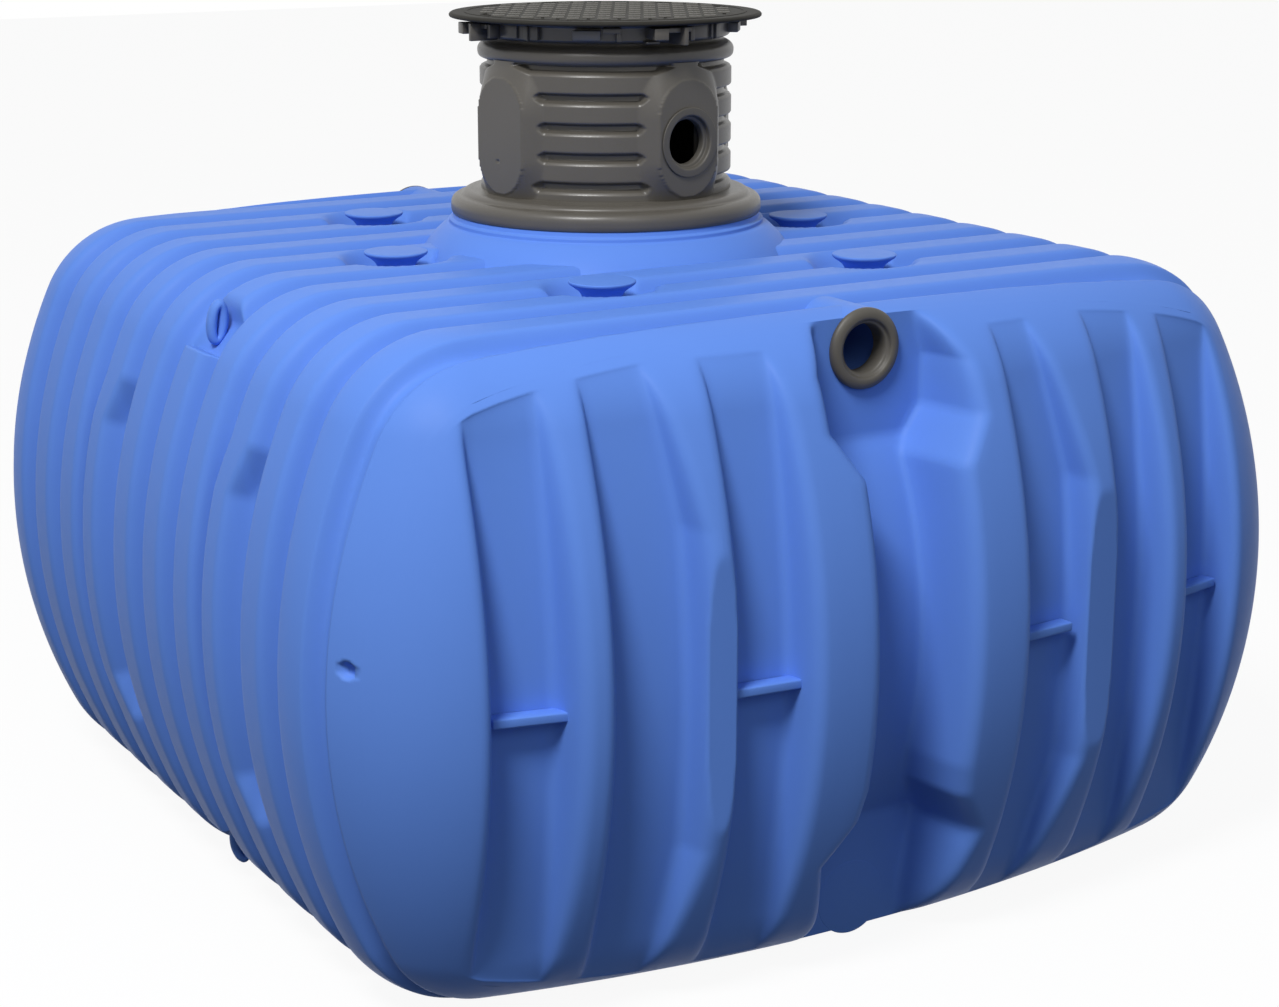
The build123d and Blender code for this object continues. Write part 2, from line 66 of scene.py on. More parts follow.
# %% Shader sums
class Wire:
    """A socket of a material, with sums written as operators."""

    def __init__(self, tree, socket):
        self.tree, self.socket = tree, socket

    def node(self, kind, settings=None, out=0, **inputs):
        """A new node. An input is given by its name, or as i and its number."""
        made = self.tree.nodes.new(kind)
        for key, value in (settings or {}).items():
            setattr(made, key, value)
        for key, value in inputs.items():
            target = made.inputs[int(key[1:]) if key[1:].isdigit() else key]
            if isinstance(value, Wire):
                self.tree.links.new(value.socket, target)
            else:
                target.default_value = value
        return Wire(self.tree, made.outputs[out])

    def sum(self, operation, other=0.0, swapped=False):
        first, second = (other, self) if swapped else (self, other)
        return self.node("ShaderNodeMath", {"operation": operation}, i0=first, i1=second)

    def __add__(self, other): return self.sum("ADD", other)
    def __radd__(self, other): return self.sum("ADD", other)
    def __mul__(self, other): return self.sum("MULTIPLY", other)
    def __rmul__(self, other): return self.sum("MULTIPLY", other)
    def __sub__(self, other): return self.sum("SUBTRACT", other)
    def __rsub__(self, other): return self.sum("SUBTRACT", other, True)

    def clamp(self, low=0.0, high=1.0):
        return self.sum("MAXIMUM", low).sum("MINIMUM", high)

    def mix(self, first, second):
        """The colour first where this value is 0, second where it is 1."""
        return self.node("ShaderNodeMix", {"data_type": "RGBA"}, out=2, i0=self, i6=first, i7=second)


def new_material(name):
    """A fresh material, its shader, and the wire of its Object coordinates."""
    material = bpy.data.materials.new(name)
    material.use_nodes = True
    tree = material.node_tree
    shader = tree.nodes["Principled BSDF"]
    place = tree.nodes.new("ShaderNodeTexCoord")
    return material, shader, Wire(tree, place.outputs["Object"])


def plug(wire, shader, socket):
    """Links a wire to one of the shader's inputs."""
    wire.tree.links.new(wire.socket, shader.inputs[socket])


# %% [markdown]
# ## Blue tank plastic
# The tank is through-coloured polyethylene with a soft, nearly matt skin. Up close the skin has a
# faint orange peel, a fine grain, and broad clouds where the wall cooled unevenly. All three are
# noise at different sizes, read from the object's own coordinates, and kept weak.

# %% Blue tank plastic
blue, shader, place = new_material("tank_plastic")
clouds = place.node("ShaderNodeTexNoise", Vector=place, Scale=1.7, Detail=3.0, Roughness=0.55)
peel = place.node("ShaderNodeTexNoise", Vector=place, Scale=260.0, Detail=2.0, Roughness=0.5)
grain = place.node("ShaderNodeTexNoise", Vector=place, Scale=38.0, Detail=4.0, Roughness=0.6)
shade = (clouds - 0.5) * 0.5 + 0.5 + (grain - 0.5) * 0.12
colour = shade.clamp().mix((0.102, 0.225, 0.66, 1), (0.128, 0.272, 0.76, 1))
plug(colour, shader, "Base Color")
plug((0.44 + (grain - 0.5) * 0.16 + (clouds - 0.5) * 0.08).clamp(0.3, 0.6), shader, "Roughness")
bump = peel.node("ShaderNodeBump", Height=peel * 0.6 + grain * 0.4, Strength=0.05, Distance=0.002)
plug(bump, shader, "Normal")
shader.inputs["Specular IOR Level"].default_value = 0.06
print("material", blue.name)

# %% [markdown]
# ## Dark plastics and rubber
# The shaft is a warm dark grey, a little shinier than the tank, and the lid is darker and matt. Its bars
# of one direction get a lighter colour, a painted highlight where light catches their edges. The seals
# are rubber, and the clips under the lid are lighter. One helper makes all five from two colours, a
# roughness, and the size and depth of their grain.

# %% Dark plastics and rubber
def dark_material(name, low, high, rough, grain_size, depth, shine=0.45):
    """A dark plastic or rubber, clouded between two colours."""
    material, shader, place = new_material(name)
    clouds = place.node("ShaderNodeTexNoise", Vector=place, Scale=4.0, Detail=3.0, Roughness=0.6)
    grain = place.node("ShaderNodeTexNoise", Vector=place, Scale=grain_size, Detail=3.0, Roughness=0.55)
    shade = ((clouds - 0.5) * 0.8 + 0.5 + (grain - 0.5) * 0.3).clamp()
    plug(shade.mix(low, high), shader, "Base Color")
    plug((rough + (grain - 0.5) * 0.2 + (clouds - 0.5) * 0.12).clamp(0.2, 0.9), shader, "Roughness")
    bump = grain.node("ShaderNodeBump", Height=grain, Strength=depth, Distance=0.001)
    plug(bump, shader, "Normal")
    shader.inputs["Specular IOR Level"].default_value = shine
    return material


shaft_plastic = dark_material(
    "shaft_plastic", (0.070, 0.064, 0.054, 1), (0.100, 0.091, 0.077, 1), 0.36, 180, 0.12)
lid_plastic = dark_material(
    "lid_plastic", (0.022, 0.021, 0.018, 1), (0.036, 0.034, 0.030, 1), 0.60, 220, 0.10, 0.06)
# A painted highlight: this lighter colour on the lid's bars stands in for light that catches their edges.
bar_painted_highlight = dark_material(
    "lid_bar_painted_highlight", (0.115, 0.111, 0.101, 1), (0.180, 0.174, 0.159, 1), 0.48, 160, 0.10, 0.15)
seal_rubber = dark_material(
    "seal_rubber", (0.060, 0.055, 0.047, 1), (0.092, 0.085, 0.072, 1), 0.52, 320, 0.10)
clip_plastic = dark_material(
    "clip_plastic", (0.150, 0.145, 0.130, 1), (0.200, 0.192, 0.175, 1), 0.50, 220, 0.10)
print("dark materials", [material.name for material in (
    shaft_plastic, lid_plastic, bar_painted_highlight, seal_rubber, clip_plastic)])

# %% [markdown]
# ## Shape of the moulding
# Every level of the tank has the same plan, moved inwards by a set-back that grows from nothing at
# mid height to the flat roof. The plan has straight sides, bowed ends and round corners. These few
# sums give the smooth skin before any groove is pressed into it.

# %% Shape of the moulding
HALF_W, HALF_L, HEIGHT = 1.325, 1.440, 1.520
BULGE, SHOULDER, CORNER, BOW = 1.400, 0.300, 0.420, 4.200
MID = HEIGHT / 2
LEAN = math.asin((MID - SHOULDER) / (BULGE - SHOULDER))
SETBACK = BULGE - (BULGE - SHOULDER) * math.cos(LEAN)
CORNER_X = HALF_W - CORNER
BOW_Y = BOW - HALF_L
CORNER_Y = math.sqrt((BOW - CORNER) ** 2 - CORNER_X**2) - BOW_Y
CUT_Y = 1.150


def set_back(z):
    """How far the wall at height z stands in from its widest reach."""
    rise = np.abs(np.asarray(z, float) - MID)
    bulge = BULGE - np.sqrt(np.maximum(BULGE**2 - rise**2, 0))
    round_off = SETBACK - np.sqrt(np.maximum(SHOULDER**2 - (rise - MID + SHOULDER) ** 2, 0))
    return np.where(rise <= BULGE * math.sin(LEAN), bulge, round_off)


def plan_inset(x, y):
    """How far a point lies inside the widest plan of the tank."""
    x, y = np.abs(x), np.abs(y)
    bow = BOW - np.hypot(x, y + BOW_Y)
    side = HALF_W - x
    corner = CORNER - np.hypot(x - CORNER_X, y - CORNER_Y)
    in_bow = x * (CORNER_Y + BOW_Y) <= (y + BOW_Y) * CORNER_X
    in_corner = (y > CORNER_Y) & ~in_bow
    return np.where(in_corner, corner, np.minimum(bow, side))


def reach_y(x, z):
    """How far along the tank the smooth skin reaches at x and z, in its end half."""
    x = np.abs(x)
    setback = set_back(z)
    bow = np.sqrt(np.maximum((BOW - setback) ** 2 - x**2, 0)) - BOW_Y
    round_r = np.maximum(CORNER - setback, 1e-6)
    corner = CORNER_Y + np.sqrt(np.maximum(round_r**2 - (x - CORNER_X) ** 2, 0))
    in_bow = x <= CORNER_X * (BOW - setback) / (BOW - CORNER)
    return np.where(in_bow, bow, corner)


print("set-back at the roof", round(SETBACK, 4), "corner starts at", round(CORNER_Y, 4))

# %% [markdown]
# ## What every piece needs
# A piece rides on a body of the frame, gets its material, and may stand for nodes of the frame, which
# are then hidden. One helper does all of that. The others are steps that one would do by hand:
# select, copy, join, go in and out of edit mode, and bevel.

# %% What every piece needs
def select_only(*pieces):
    """Selects just these pieces, with the first one active."""
    bpy.ops.object.select_all(action="DESELECT")
    for piece in pieces:
        piece.select_set(True)
    bpy.context.view_layer.objects.active = pieces[0]


def finish_piece(piece, material, slot, body, *nodes):
    """Gives a piece its material and body, and names the frame nodes that it stands for; the slot is not
    used.
    """
    piece.data.materials.clear()
    piece.data.materials.append(material)
    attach(piece, body)
    if nodes:
        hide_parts(*nodes)
    piece.select_set(False)
    print(piece.name, len(piece.data.polygons), "faces")


def copy_of(piece):
    """A copy of a piece with a mesh of its own."""
    copy = piece.copy()
    copy.data = piece.data.copy()
    bpy.context.collection.objects.link(copy)
    return copy


def join_pieces(name, pieces):
    """The pieces as one object."""
    select_only(*pieces)
    bpy.ops.object.join()
    whole = bpy.context.object
    whole.name = whole.data.name = name
    return whole


def edit_all():
    """Goes into edit mode with the whole of the active piece selected."""
    bpy.ops.object.mode_set(mode="EDIT")
    bpy.ops.mesh.select_all(action="SELECT")


def leave_edit():
    """Leaves edit mode, and shades flat only where two faces meet at a sharp angle."""
    bpy.ops.object.mode_set(mode="OBJECT")
    bpy.ops.object.shade_smooth_by_angle(angle=math.radians(35))


def bevel_all(width):
    """Bevels every edge of the active piece."""
    edit_all()
    bpy.ops.mesh.normals_make_consistent(inside=False)
    bpy.ops.mesh.bevel(offset=width, segments=2, affect="EDGES")
    leave_edit()


print("helpers ready")

# %% [markdown]
# ## Sheets of skin
# The skin is drawn like a ship's hull: lines follow the edges of grooves and ribs, so each soft edge
# gets points of its own. A plain grid is added with as many rows and columns as there are lines, and
# its points are moved onto them.

# %% Sheets of skin
def new_grid(name, rows, columns):
    """A flat grid, and how far each of its points lies across and up it, from 0 to 1."""
    bpy.ops.mesh.primitive_grid_add(x_subdivisions=columns - 1, y_subdivisions=rows - 1, size=2)
    sheet = bpy.context.object
    sheet.name = sheet.data.name = name
    flat = np.empty(len(sheet.data.vertices) * 3)
    sheet.data.vertices.foreach_get("co", flat)
    flat = flat.reshape(-1, 3)
    return sheet, (flat[:, 0] + 1) / 2, (flat[:, 1] + 1) / 2


def skin_sheet(name, points, nodes, outward):
    """A grid moved onto an array of points, rows by columns by xyz, facing outward."""
    rows, columns = points.shape[:2]
    sheet, across, up = new_grid(name, rows, columns)
    row = np.rint(up * (rows - 1)).astype(int)
    column = np.rint(across * (columns - 1)).astype(int)
    mesh = sheet.data
    mesh.vertices.foreach_set("co", points[row, column].ravel())
    mesh.update()
    middle = mesh.polygons[len(mesh.polygons) // 2]
    if middle.normal.dot(Vector(outward)) < 0:
        mesh.flip_normals()
    bpy.ops.object.shade_smooth()
    finish_piece(sheet, blue, "tank_plastic", "tank", *nodes)
    return sheet


def cut_away(sheet, gone):
    """Deletes the faces whose middles gone(x, y, z) picks, in edit mode."""
    select_only(sheet)
    middles = np.empty(len(sheet.data.polygons) * 3)
    sheet.data.polygons.foreach_get("center", middles)
    picked = gone(*middles.reshape(-1, 3).T)
    bpy.ops.object.mode_set(mode="EDIT")
    bpy.ops.mesh.select_all(action="DESELECT")
    bpy.ops.object.mode_set(mode="OBJECT")
    sheet.data.polygons.foreach_set("select", picked)
    bpy.ops.object.mode_set(mode="EDIT")
    bpy.ops.mesh.select_mode(type="FACE")
    bpy.ops.mesh.delete(type="FACE")
    bpy.ops.object.mode_set(mode="OBJECT")
    sheet.select_set(False)
    print(sheet.name, "lost", int(picked.sum()), "faces")


def soft_step(share):
    """A smooth rise from 0 to 1."""
    share = np.clip(share, 0, 1)
    return share * share * (3 - 2 * share)


print("halfway of a soft step", soft_step(0.5))

# %% [markdown]
# ## Hoops
# Eleven grooves leave ten hoops round the tank. Half of one groove is written as places across it
# and the share of its depth there, from the floor's middle up the side and over the round edge.
# Near the ends closer lines follow the rounding of the tank's corners.

# %% Lines along the tank
PITCH, GROOVES, GROOVE_DEPTH = 0.208, 11, 0.050
GROOVE_MIDDLES = [(number - (GROOVES - 1) / 2) * PITCH for number in range(GROOVES)]
HALF_GROOVE = (
    (0.000, 1.000), (0.010, 0.998), (0.016, 0.975), (0.021, 0.915), (0.026, 0.800), (0.031, 0.640),
    (0.036, 0.465), (0.041, 0.300), (0.046, 0.170), (0.051, 0.085), (0.057, 0.030), (0.063, 0.006),
    (0.070, 0.000), (0.082, 0.000), (0.094, 0.000),
)
RIM_LINES = (1.1055, 1.1095, 1.1135, 1.1175, 1.1215, 1.1255, 1.130, 1.137)
lines = {(middle + PITCH / 2, 0.0) for middle in GROOVE_MIDDLES[:-1]}
for middle in GROOVE_MIDDLES:
    for across, share in HALF_GROOVE:
        lines |= {(middle - across, share), (middle + across, share)}
hoop_lines = sorted(line for line in lines if abs(line[0]) < RIM_LINES[0] - 0.001)
for y in RIM_LINES + (CUT_Y,):
    hoop_lines = [(-y, 0.0)] + hoop_lines + [(y, 0.0)]
line_y = np.array([y for y, share in hoop_lines])
line_share = np.array([share for y, share in hoop_lines])
print("lines along the tank", len(hoop_lines))

# %% [markdown]
# ## Outline across the tank
# The outline across the tank is a row of arcs: the flat floor, a shoulder, the bulged side, and the
# same again up to the roof. It gets closer points where a notch for a lifting eye or a round dimple
# is pressed into the wall.

# %% Outline across the tank
EYE_Y, EYE_LOW, EYE_HIGH = -0.104, 1.368, 1.462
EYE_ANGLES = [
    math.degrees(math.asin((z - HEIGHT + SHOULDER) / SHOULDER)) for z in (EYE_LOW, EYE_HIGH)]
DIMPLE_Y, DIMPLE_Z, DIMPLE_R, DIMPLE_DEPTH = 1.1175, 0.880, 0.0175, 0.022


def finer(degrees, place, gap, extra):
    """The angles, with those nearer to a place than the gap swapped for closer ones."""
    return np.concatenate([degrees[np.abs(degrees - place) > gap], place + np.asarray(extra)])


def arc(middle, radius, degrees):
    """Points of an arc at the given angles, and the direction outwards at each."""
    outward = [(math.cos(angle), math.sin(angle)) for angle in np.radians(np.sort(degrees))]
    return [(middle[0] + radius * x, middle[1] + radius * z) for x, z in outward], outward


def half_outline():
    """Points and outward directions from the floor's middle up the right side to the roof's middle."""
    lean = math.degrees(LEAN)
    floor = [(x, 0) for x in np.linspace(0, HALF_W - SETBACK, 40)[:-1]]
    around = np.linspace(-90, -lean, 27)[:-1]
    for edge in EYE_ANGLES:
        around = finer(around, -edge, 2.4, (-2, -1.3, -0.7, 0, 0.7, 1.3, 2))
    shoulder, shoulder_out = arc((HALF_W - SETBACK, SHOULDER), SHOULDER, around)
    dimple_at = math.degrees(math.asin((DIMPLE_Z - MID) / BULGE))
    around = finer(np.linspace(-lean, lean, 91), dimple_at, 0.9, np.linspace(-0.84, 0.84, 11))
    side, side_out = arc((HALF_W - BULGE, MID), BULGE, around)
    low, low_out = floor + shoulder, [(0, -1)] * len(floor) + shoulder_out
    points = low + side + [(x, HEIGHT - z) for x, z in low[::-1]]
    normals = low_out + side_out + [(x, -z) for x, z in low_out[::-1]]
    return np.array(points), np.array(normals)


outline, outline_n = half_outline()
wall = np.abs(outline[:, 0]) >= CORNER_X
print("outline points", len(outline), "on the wall", int(wall.sum()))

# %% [markdown]
# ## Steps, notches, dimples and scoops
# Two hoops of the left wall are narrower at mid height, with a flat valley in front of them, and
# the right wall is the same turned round. Notches hold the lifting eyes, and scoops clear the
# roof's pads. Each is a small sum that gives a place or a depth.

# %% Steps, notches, dimples and scoops
STEP_LOW, STEP_HIGH, STEP_RUN = 0.335, 1.235, 0.115
STEP_STARTS = (GROOVE_MIDDLES[2], GROOVE_MIDDLES[6])
STEP_FROM = (0.000, 0.020, 0.063, 0.104, 0.145, 0.187, 0.188, 0.250)
STEP_TO = (0.000, 0.068, 0.111, 0.141, 0.171, 0.213, 0.213, 0.250)
VALLEY_DEPTH, VALLEY_FROM, VALLEY_TO = 0.016, 0.004, 0.072
PADS = ((0.605, 0.0), (-0.605, 0.0), (0.374, 0.624), (-0.374, 0.624), (0.374, -0.624), (-0.374, -0.624))
SCOOP_R, SCOOP_SLOPE = 0.148, 0.060


def step_share(z):
    """How far the stepped hoops stand back at height z: 0 above and below the steps, 1 between."""
    return np.clip(np.minimum((STEP_HIGH - z) / STEP_RUN, (z - STEP_LOW) / STEP_RUN), 0, 1)


def along(z):
    """The y of each line on the left wall at height z. Two hoops are narrower at mid height."""
    y = line_y.copy()
    for start in STEP_STARTS:
        moved = start + np.interp(line_y - start, STEP_FROM, STEP_TO)
        inside = (line_y > start) & (line_y < start + STEP_FROM[-1])
        y = np.where(inside, line_y + (moved - line_y) * step_share(z), y)
    return y


def step_valley(z, y):
    """Extra depth of the flat valley in front of each stepped hoop."""
    depth = np.zeros_like(y)
    for start in STEP_STARTS:
        rise = soft_step((y - start - VALLEY_FROM) / 0.012)
        depth += rise * soft_step((start + VALLEY_TO - y) / 0.016)
    return VALLEY_DEPTH * depth * step_share(z)


def eye_notch(z, y):
    """Depth of the notches that hold the lifting eyes, at the shoulders of one hoop."""
    height = np.maximum(z, HEIGHT - z)
    foot = soft_step((height - EYE_LOW + 0.004) / 0.010)
    top = soft_step((EYE_HIGH + 0.020 - height) / 0.036)
    return GROOVE_DEPTH * (foot * top) * (np.abs(y - EYE_Y) < PITCH / 2 - 0.001)


def dimple(z, y):
    """Depth of the round dimples near the tank's corners."""
    distance = np.hypot(np.abs(y) - DIMPLE_Y, z - DIMPLE_Z)
    return DIMPLE_DEPTH * soft_step((DIMPLE_R - distance) / 0.005 + 0.5)


def pad_scoop(x, y):
    """Depth of the round scoops that clear the roof's pads."""
    near = np.min([np.hypot(x - pad_x, y - pad_y) for pad_x, pad_y in PADS], axis=0)
    return GROOVE_DEPTH * soft_step((SCOOP_R - near) / SCOOP_SLOPE)


print("stepped hoops start at", [round(start, 3) for start in STEP_STARTS])

# %% [markdown]
# ## Middle of the tank
# At each line along the tank the outline is moved in by the groove's depth there, or by the rounding
# of the tank's corners where that goes deeper. That distance is found by halving, because the
# rounding depends on where the moved point comes to lie.

# %% Middle of the tank
def inset_at(x0, z0, nx, nz, y):
    """How far in from the outline the smooth skin lies at y, where the tank's corners round off."""
    low, high = np.zeros_like(x0 + y), np.full_like(x0 + y, SETBACK)
    outside = plan_inset(x0, y) < set_back(z0) - 1e-9
    for _ in range(34):
        middle = (low + high) / 2
        x, z = x0 - nx * middle, z0 - nz * middle
        out = plan_inset(x, y) < set_back(z)
        low, high = np.where(out, middle, low), np.where(out, high, middle)
    return np.where(outside, high, 0)


def hooped(points, normals, stepped=False):
    """The grooved skin over part of the outline: rows along the outline, columns along the tank."""
    rows = []
    for (x0, z0), (nx, nz) in zip(points, normals):
        y = along(z0) if stepped else line_y
        base = inset_at(np.full_like(y, x0), np.full_like(y, z0), nx, nz, y)
        inset = np.maximum(base, GROOVE_DEPTH * line_share)
        if stepped:
            inset = np.maximum(inset, eye_notch(z0, y))
            inset = inset + dimple(z0, y) + step_valley(z0, y)
        if z0 == HEIGHT:
            inset = np.maximum(inset, pad_scoop(x0, y))
        rows.append(np.stack([x0 - nx * inset, y, z0 - nz * inset], axis=1))
    return np.array(rows)


wall_points, wall_normals = outline[wall], outline_n[wall]
left = hooped(wall_points * (-1, 1), wall_normals * (-1, 1), stepped=True)
skin_sheet("left_wall_skin", left, ["left_wall"], (-1, 0, 0))
skin_sheet("right_wall_skin", left * (-1, -1, 1), ["right_wall"], (1, 0, 0))

# %% [markdown]
# ## Roof and floor
# Between the walls the roof and the floor are level, so they are the same grooved skin over a
# straight row of points. The roof needs closer rows for its round scoops, and has the hole that the
# shaft opens into.

# %% Roof and floor
edge_x = wall_points[-1][0]
ROOF_HOLE_R = 0.33


def level_skin(name, node, z, rows):
    """The grooved skin at height z between the walls."""
    up = 1 if z > MID else -1
    points = np.array([(x, z) for x in np.linspace(-edge_x, edge_x, rows)])
    return skin_sheet(name, hooped(points, np.array([(0, up)] * rows)), [node], (0, 0, up))


roof = level_skin("roof_skin", "tank_roof", HEIGHT, 171)
level_skin("floor_skin", "tank_floor", 0, 51)
cut_away(roof, lambda x, y, z: np.hypot(x, y) < ROOF_HOLE_R)

# %% [markdown]
# ## Ribbed ends
# Each end is one sheet. Its columns are upright lines that follow the edges of ribs, channel and
# pocket, and bend round the corners at the sides; its rows follow the bulge from floor to roof.
# The grooves between the ribs are deepest at mid height and run out under the roof's edge.

# %% Lines across an end
RIB_DEPTH, RIB_RUN = 0.098, 0.700
POCKET_Y = HALF_L - 0.290
FLANK = (
    (-0.034, 0.000), (-0.026, 0.008), (-0.018, 0.036), (-0.011, 0.090), (-0.005, 0.170),
    (-0.001, 0.270), (0.003, 0.420), (0.007, 0.620), (0.010, 0.790), (0.014, 0.890),
    (0.020, 0.955), (0.028, 0.990), (0.036, 1.000),
)
CUT_RIBS, CUT_Z = ((-0.625, -0.460), (0.400, 0.612)), 0.450


def rib_edges(z):
    """The x of each groove's two edges at height z, from left to right."""
    height = max(z, HEIGHT - z)
    second = np.interp(height, (1.130, 1.470), (-0.542, -0.593))
    fifth = np.interp(height, (1.110, 1.440), (0.500, 0.425))
    return [
        (-1.018, -0.839), (-0.756, second), (-0.473, -0.300),
        (0.300, fifth), (0.593, 0.756), (0.839, 1.018),
    ]


def rib_cut(x, z):
    """How much the flat cut takes off the two cut ribs between their kinks."""
    over = np.maximum(set_back(CUT_Z) - set_back(z), 0)
    inside = np.any([(x > low - 0.001) & (x < high + 0.001) for low, high in CUT_RIBS], axis=0)
    return over * inside


def groove_depth(z, ends=RIB_RUN):
    """Depth of the ribs' grooves at height z, running out at a distance from mid height."""
    return RIB_DEPTH * np.power(np.clip(1 - (np.abs(z - MID) / ends) ** 2.2, 0, 1), 0.75)


def pocket_half(z):
    """Half width of the channel's mouth and of the pockets at its top and foot."""
    up = np.interp(z, (1.180, 1.285, 1.400, 1.490, 1.520), (0.122, 0.192, 0.192, 0.160, 0.150))
    down = np.interp(z, (0.000, 0.100, 0.290, 0.400, 0.480), (0.150, 0.165, 0.205, 0.135, 0.122))
    return np.where(z > MID, up, down)


print("groove depth at mid height", round(float(groove_depth(MID)), 3))

# %% [markdown]
# ## Rows of an end
# The end meets the hooped middle at a rim, which is the tank's outline moved in by the rounding of
# the corners. A column at any x runs from the floor to the rim's height there, and its rows are
# spaced by the bulge's arc and then by the shoulder's.

# %% Rows of an end
ROWS, TOP_X = 161, 1.150
BULGE_SHARE, LAST_ANGLE = 0.56, math.radians(79)


def side_edge():
    """The rim of the end sheet, where it meets the middle of the tank: points of the outline, moved in."""
    x0, z0 = outline[:, 0], outline[:, 1]
    nx, nz = outline_n[:, 0], outline_n[:, 1]
    inset = inset_at(x0, z0, nx, nz, np.full_like(x0, CUT_Y))
    return x0 - nx * inset, z0 - nz * inset


rim_x, rim_z = side_edge()
widest = np.argmax(rim_x)


def top_of(x):
    """Height of the rim's upper half at x."""
    return np.interp(np.abs(x), rim_x[widest:][::-1], rim_z[widest:][::-1])


def side_of(z):
    """How far to the side the rim lies at height z."""
    return np.interp(z, rim_z, rim_x)


top_z = float(top_of(TOP_X))
angle = np.linspace(-1, 1, ROWS)
over_shoulder = LEAN + (np.abs(angle) - BULGE_SHARE) / (1 - BULGE_SHARE) * (LAST_ANGLE - LEAN)
row_rise = np.where(
    np.abs(angle) < BULGE_SHARE,
    angle / BULGE_SHARE * BULGE * math.sin(LEAN),
    np.sign(angle) * (MID - SHOULDER + SHOULDER * np.sin(over_shoulder)),
)
row_share = row_rise / np.abs(row_rise[-1])
print("rows of an end", ROWS, "top at its side", round(top_z, 3))

# %% [markdown]
# ## Columns of an end
# Each column is one line along the edge of a groove, the channel or a pocket: its x at every row, and
# the share of the depth that it has. Plain columns between them keep the ribs round. Outside the
# last groove the columns fan out round the tank's corner to the rim.

# %% Columns of an end
CHANNEL_BOW, CHANNEL_HALF_Z = 0.125, 0.455
CHANNEL_FLANK = (
    (-0.040, 0.00), (-0.030, 0.007), (-0.021, 0.03), (-0.013, 0.07), (-0.006, 0.13),
    (-0.001, 0.20), (0.003, 0.29), (0.008, 0.44), (0.013, 0.62), (0.018, 0.79),
    (0.024, 0.92), (0.031, 0.985), (0.039, 1.00),
)


def channel_floor(z):
    """How far along the tank the channel's floor lies: bowed at mid height, upright in the pockets."""
    return POCKET_Y + CHANNEL_BOW * np.clip(1 - (np.abs(z - MID) / CHANNEL_HALF_Z) ** 2, 0, 1) ** 0.9


def end_columns(heights):
    """Each column's x at every row, its share of the depth, and whether it is in the channel."""
    edges = np.array([rib_edges(z) for z in heights])
    half = pocket_half(heights)
    ones = np.ones(ROWS)
    rib_round, mouth_round, foot_round = -FLANK[0][0], -CHANNEL_FLANK[0][0], CHANNEL_FLANK[-1][0]
    columns = []
    for left_edge, right_edge in edges.transpose(1, 2, 0):
        for across, share in FLANK:
            columns.append((left_edge + across, share * ones, False))
            columns.append((right_edge - across, share * ones, False))
        columns.append(((left_edge + right_edge) / 2, ones, False))
    for before, after in ((0, 1), (1, 2), (3, 4), (4, 5)):
        low, high = edges[:, before, 1] + rib_round, edges[:, after, 0] - rib_round
        for fraction in (0.33, 0.67):
            columns.append((low + (high - low) * fraction, 0 * ones, False))
    for across, share in CHANNEL_FLANK:
        for side in (-1, 1):
            columns.append((side * (half - across), share * ones, True))
    for fraction in np.linspace(-1, 1, 15)[1:-1]:
        columns.append((fraction * (half - foot_round), ones, True))
    low, high = half + mouth_round, edges[:, 3, 0] - rib_round
    for side in (-1, 1):
        for fraction in (0.3, 0.7):
            columns.append((side * (low + (high - low) * fraction), 0 * ones, False))
    return sorted(columns, key=lambda column: column[0][ROWS // 2])


def corner_columns(start):
    """Columns by rows by xyz round the tank's corner, from the last column's x to the rim."""
    ends = float(top_of(start[-1]))
    corner = []
    for fraction in np.linspace(0, 1, 41)[1:] ** 0.8:
        z = MID + row_share * (ends + (top_z - ends) * fraction - MID)
        share = fraction + (1 - fraction) * np.abs(row_share) ** 7
        x = start + (side_of(z) - start) * share
        corner.append(np.stack([x, -reach_y(x, z), z], axis=1))
    return np.array(corner)


def end_sheet():
    """Rows by columns by xyz of the front end, from its left side to its right."""
    columns = end_columns(MID + row_share * (float(top_of(0.0)) - MID))
    grid = []
    for x, share, in_channel in columns:
        z = MID + row_share * (top_of(x) - MID)
        reach = reach_y(x, z)
        if in_channel:
            drop = share * np.maximum(reach - channel_floor(z), 0)
        else:
            drop = share * groove_depth(z, np.minimum(RIB_RUN, 0.975 * (top_of(x) - MID)))
            drop = np.maximum(drop, rib_cut(x, z))
        grid.append(np.stack([x, -(reach - drop), z], axis=1))
    corner = corner_columns(np.abs(columns[-1][0]))
    grid = np.concatenate([corner[::-1] * (-1, 1, 1), np.array(grid), corner])
    return grid.transpose(1, 0, 2)


front = end_sheet()
print("an end has", front.shape[1], "columns")

# %% [markdown]
# ## Both ends
# The rear end is the front one turned round. A pipe passes through each, near the top of the
# channel, so the faces in its way are cut out.

# %% Both ends
PIPE_Z, PIPE_HOLE_R, PIPE_HOLE_Y = 1.425, 0.078, 1.20
ends = [
    skin_sheet("front_end_skin", front, [
        "front_end_wall", "front_left_corner", "front_right_corner"], (0, -1, 0)),
    skin_sheet("rear_end_skin", front * (-1, -1, 1), [
        "rear_end_wall", "rear_right_corner", "rear_left_corner"], (0, 1, 0)),
]
for end in ends:
    cut_away(end, lambda x, y, z: (
        np.hypot(x, z - PIPE_Z) < PIPE_HOLE_R) & (np.abs(y) < PIPE_HOLE_Y))

# %% [markdown]
# ## Turned pieces
# Rings, pads, dome and lid are round, so each is a profile spun about an axis. The profile is
# written as corners with a rounding each, as on a drawing, and every corner becomes a short arc.

